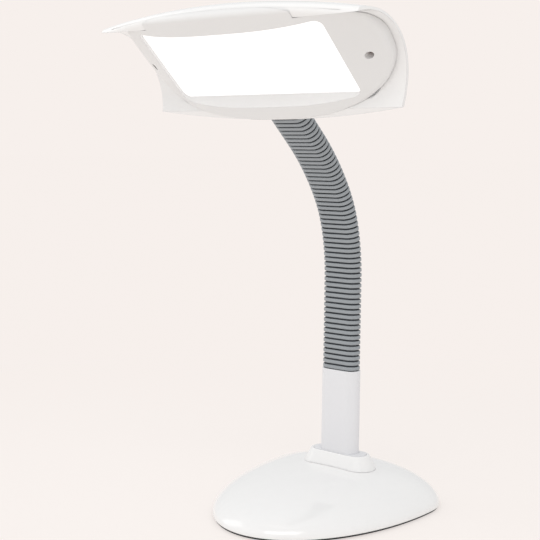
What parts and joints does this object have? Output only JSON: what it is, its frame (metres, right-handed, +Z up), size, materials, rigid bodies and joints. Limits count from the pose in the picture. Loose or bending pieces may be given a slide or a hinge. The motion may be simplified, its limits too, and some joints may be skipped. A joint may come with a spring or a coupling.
{
  "type": "light therapy lamp",
  "caption": "Desk light therapy lamp: weighted egg-shaped foot, flat stem, ribbed bendable neck and a wide hooded head with a lit window.",
  "frame": {"origin": "on the resting surface, at the centre of the middle foot, under the stem", "axes": "+X across the lamp to its left hand side as it faces -Y, the lit face looks towards -Y and down, +Z up"},
  "size_m": [0.2774, 0.2761, 0.4558],
  "materials": {
    "board_laminate": "green solder-masked laminate",
    "capacitor_sleeve": "shrink sleeve",
    "choke_wound": "taped winding on a ferrite core",
    "white_gloss": "glossy moulded shell",
    "base_plate_steel": "black painted sheet steel",
    "steel_fitting": "plain plated",
    "weight_iron": "plain casting",
    "connector_white": "moulded",
    "brass_fitting": "turned",
    "black_fitting": "moulded",
    "diffuser_opal": "opal sheet",
    "panel_white": "fine satin moulding",
    "socket_aluminium": "die casting",
    "hood_white": "glossy moulded shell",
    "tube_glass": "phosphor coated glass",
    "neck_grey": "grey ribbed elastomer",
    "neck_collar_grey": "moulded",
    "reflector_sheet": "bright rolled sheet",
    "foot_rubber": "soft matte rubber",
    "stem_white": "satin white extrusion",
    "white_satin": "fine satin moulding",
    "switch_black": "polished moulding"
  },
  "bodies": {
    "foot": {"ballast_board": "board_laminate", "ballast_capacitors": "capacitor_sleeve", "ballast_choke": "choke_wound", "base_cover": "white_gloss", "base_plate": "base_plate_steel", "base_screws": "steel_fitting", "base_weight": "weight_iron", "board_connectors": "connector_white", "board_screws": "steel_fitting", "board_standoffs": "brass_fitting", "collar": "white_gloss", "cord_gland": "black_fitting", "gland_nut": "black_fitting", "neck_end_lower": "neck_grey", "rubber_feet": "foot_rubber", "socket_screws": "steel_fitting", "stem": "stem_white", "stem_insert": "white_satin", "stem_socket": "socket_aluminium"},
    "pivot_01": {"neck_pivot_01": "steel_fitting"},
    "link_01": {"neck_link_01": "neck_grey"},
    "pivot_02": {"neck_pivot_02": "steel_fitting"},
    "link_02": {"neck_link_02": "neck_grey"},
    "pivot_03": {"neck_pivot_03": "steel_fitting"},
    "link_03": {"neck_link_03": "neck_grey"},
    "pivot_04": {"neck_pivot_04": "steel_fitting"},
    "link_04": {"neck_link_04": "neck_grey"},
    "pivot_05": {"neck_pivot_05": "steel_fitting"},
    "link_05": {"neck_link_05": "neck_grey"},
    "pivot_06": {"neck_pivot_06": "steel_fitting"},
    "link_06": {"neck_link_06": "neck_grey"},
    "pivot_07": {"neck_pivot_07": "steel_fitting"},
    "link_07": {"neck_link_07": "neck_grey"},
    "pivot_08": {"neck_pivot_08": "steel_fitting"},
    "link_08": {"neck_link_08": "neck_grey"},
    "pivot_09": {"neck_pivot_09": "steel_fitting"},
    "link_09": {"neck_link_09": "neck_grey"},
    "pivot_10": {"neck_pivot_10": "steel_fitting"},
    "link_10": {"neck_link_10": "neck_grey"},
    "pivot_11": {"neck_pivot_11": "steel_fitting"},
    "link_11": {"neck_link_11": "neck_grey"},
    "pivot_12": {"neck_pivot_12": "steel_fitting"},
    "head": {"bracket_screws": "steel_fitting", "diffuser": "diffuser_opal", "front_panel": "panel_white", "head_bracket": "socket_aluminium", "head_hood": "hood_white", "holder_screws": "steel_fitting", "lamp_cap": "connector_white", "lamp_holder": "connector_white", "lamp_pins": "brass_fitting", "lamp_tubes": "tube_glass", "neck_end_upper": "neck_grey", "neck_ferrule": "neck_collar_grey", "panel_screws": "steel_fitting", "reflector": "reflector_sheet", "reflector_screws": "steel_fitting", "switch_housing": "black_fitting"},
    "rocker": {"switch_rocker": "switch_black"}
  },
  "joints": [
    {"name": "pitch_01", "type": "hinge", "parent": "foot", "child": "pivot_01", "pos_m": [0, 0, 0.1468], "axis": [1, 0, 0], "range_deg": [-4.5, 3.2]},
    {"name": "roll_01", "type": "hinge", "parent": "pivot_01", "child": "link_01", "pos_m": [0, 0, 0.1468], "axis": [0, 1, 0], "range_deg": [-2, 2]},
    {"name": "pitch_02", "type": "hinge", "parent": "link_01", "child": "pivot_02", "pos_m": [0, 0, 0.1668], "axis": [1, 0, 0], "range_deg": [-4.5, 3.2]},
    {"name": "roll_02", "type": "hinge", "parent": "pivot_02", "child": "link_02", "pos_m": [0, 0, 0.1668], "axis": [0, 1, 0], "range_deg": [-2, 2]},
    {"name": "pitch_03", "type": "hinge", "parent": "link_02", "child": "pivot_03", "pos_m": [0, 0, 0.1868], "axis": [1, 0, 0], "range_deg": [-4.5, 3.2]},
    {"name": "roll_03", "type": "hinge", "parent": "pivot_03", "child": "link_03", "pos_m": [0, 0, 0.1868], "axis": [0, 1, 0], "range_deg": [-2, 2]},
    {"name": "pitch_04", "type": "hinge", "parent": "link_03", "child": "pivot_04", "pos_m": [0, 0, 0.2068], "axis": [1, 0, 0], "range_deg": [-4.5, 3.2]},
    {"name": "roll_04", "type": "hinge", "parent": "pivot_04", "child": "link_04", "pos_m": [0, 0, 0.2068], "axis": [0, 1, 0], "range_deg": [-2, 2]},
    {"name": "pitch_05", "type": "hinge", "parent": "link_04", "child": "pivot_05", "pos_m": [0, -0.00038, 0.22679], "axis": [1, 0, 0], "range_deg": [-4.5, 3.2]},
    {"name": "roll_05", "type": "hinge", "parent": "pivot_05", "child": "link_05", "pos_m": [0, -0.00038, 0.22679], "axis": [0, 0.998, 0.0629], "range_deg": [-2, 2]},
    {"name": "pitch_06", "type": "hinge", "parent": "link_05", "child": "pivot_06", "pos_m": [0, -0.00269, 0.24665], "axis": [1, 0, 0], "range_deg": [-4.5, 3.2]},
    {"name": "roll_06", "type": "hinge", "parent": "pivot_06", "child": "link_06", "pos_m": [0, -0.00269, 0.24665], "axis": [0, 0.9858, 0.168], "range_deg": [-2, 2]},
    {"name": "pitch_07", "type": "hinge", "parent": "link_06", "child": "pivot_07", "pos_m": [0, -0.00708, 0.26615], "axis": [1, 0, 0], "range_deg": [-4.5, 3.2]},
    {"name": "roll_07", "type": "hinge", "parent": "pivot_07", "child": "link_07", "pos_m": [0, -0.00708, 0.26615], "axis": [0, 0.9617, 0.2742], "range_deg": [-2, 2]},
    {"name": "pitch_08", "type": "hinge", "parent": "link_07", "child": "pivot_08", "pos_m": [0, -0.0141, 0.28486], "axis": [1, 0, 0], "range_deg": [-4.5, 3.2]},
    {"name": "roll_08", "type": "hinge", "parent": "pivot_08", "child": "link_08", "pos_m": [0, -0.0141, 0.28486], "axis": [0, 0.9047, 0.4261], "range_deg": [-2, 2]},
    {"name": "pitch_09", "type": "hinge", "parent": "link_08", "child": "pivot_09", "pos_m": [0, -0.02399, 0.30222], "axis": [1, 0, 0], "range_deg": [-4.5, 3.2]},
    {"name": "roll_09", "type": "hinge", "parent": "pivot_09", "child": "link_09", "pos_m": [0, -0.02399, 0.30222], "axis": [0, 0.837, 0.5471], "range_deg": [-2, 2]},
    {"name": "pitch_10", "type": "hinge", "parent": "link_09", "child": "pivot_10", "pos_m": [0, -0.03567, 0.31845], "axis": [1, 0, 0], "range_deg": [-4.5, 3.2]},
    {"name": "roll_10", "type": "hinge", "parent": "pivot_10", "child": "link_10", "pos_m": [0, -0.03567, 0.31845], "axis": [0, 0.7846, 0.62], "range_deg": [-2, 2]},
    {"name": "pitch_11", "type": "hinge", "parent": "link_10", "child": "pivot_11", "pos_m": [0, -0.04875, 0.33356], "axis": [1, 0, 0], "range_deg": [-4.5, 3.2]},
    {"name": "roll_11", "type": "hinge", "parent": "pivot_11", "child": "link_11", "pos_m": [0, -0.04875, 0.33356], "axis": [0, 0.7259, 0.6878], "range_deg": [-2, 2]},
    {"name": "pitch_12", "type": "hinge", "parent": "link_11", "child": "pivot_12", "pos_m": [0, -0.06314, 0.34744], "axis": [1, 0, 0], "range_deg": [-4.5, 3.2]},
    {"name": "roll_12", "type": "hinge", "parent": "pivot_12", "child": "head", "pos_m": [0, -0.06314, 0.34744], "axis": [0, 0.6613, 0.7501], "range_deg": [-2, 2]},
    {"name": "rocker_press", "type": "hinge", "parent": "head", "child": "rocker", "pos_m": [-0.096, -0.12869, 0.43096], "axis": [0, -0.7501, 0.6613], "range_deg": [-16, 0]}
  ],
  "couplings": [
    {"joint": "pitch_02", "follows": "pitch_01", "ratio": 1},
    {"joint": "roll_02", "follows": "roll_01", "ratio": 1},
    {"joint": "pitch_03", "follows": "pitch_01", "ratio": 1},
    {"joint": "roll_03", "follows": "roll_01", "ratio": 1},
    {"joint": "pitch_04", "follows": "pitch_01", "ratio": 1},
    {"joint": "roll_04", "follows": "roll_01", "ratio": 1},
    {"joint": "pitch_05", "follows": "pitch_01", "ratio": 1},
    {"joint": "roll_05", "follows": "roll_01", "ratio": 1},
    {"joint": "pitch_06", "follows": "pitch_01", "ratio": 1},
    {"joint": "roll_06", "follows": "roll_01", "ratio": 1},
    {"joint": "pitch_07", "follows": "pitch_01", "ratio": 1},
    {"joint": "roll_07", "follows": "roll_01", "ratio": 1},
    {"joint": "pitch_08", "follows": "pitch_01", "ratio": 1},
    {"joint": "roll_08", "follows": "roll_01", "ratio": 1},
    {"joint": "pitch_09", "follows": "pitch_01", "ratio": 1},
    {"joint": "roll_09", "follows": "roll_01", "ratio": 1},
    {"joint": "pitch_10", "follows": "pitch_01", "ratio": 1},
    {"joint": "roll_10", "follows": "roll_01", "ratio": 1},
    {"joint": "pitch_11", "follows": "pitch_01", "ratio": 1},
    {"joint": "roll_11", "follows": "roll_01", "ratio": 1},
    {"joint": "pitch_12", "follows": "pitch_01", "ratio": 1},
    {"joint": "roll_12", "follows": "roll_01", "ratio": 1}
  ]
}
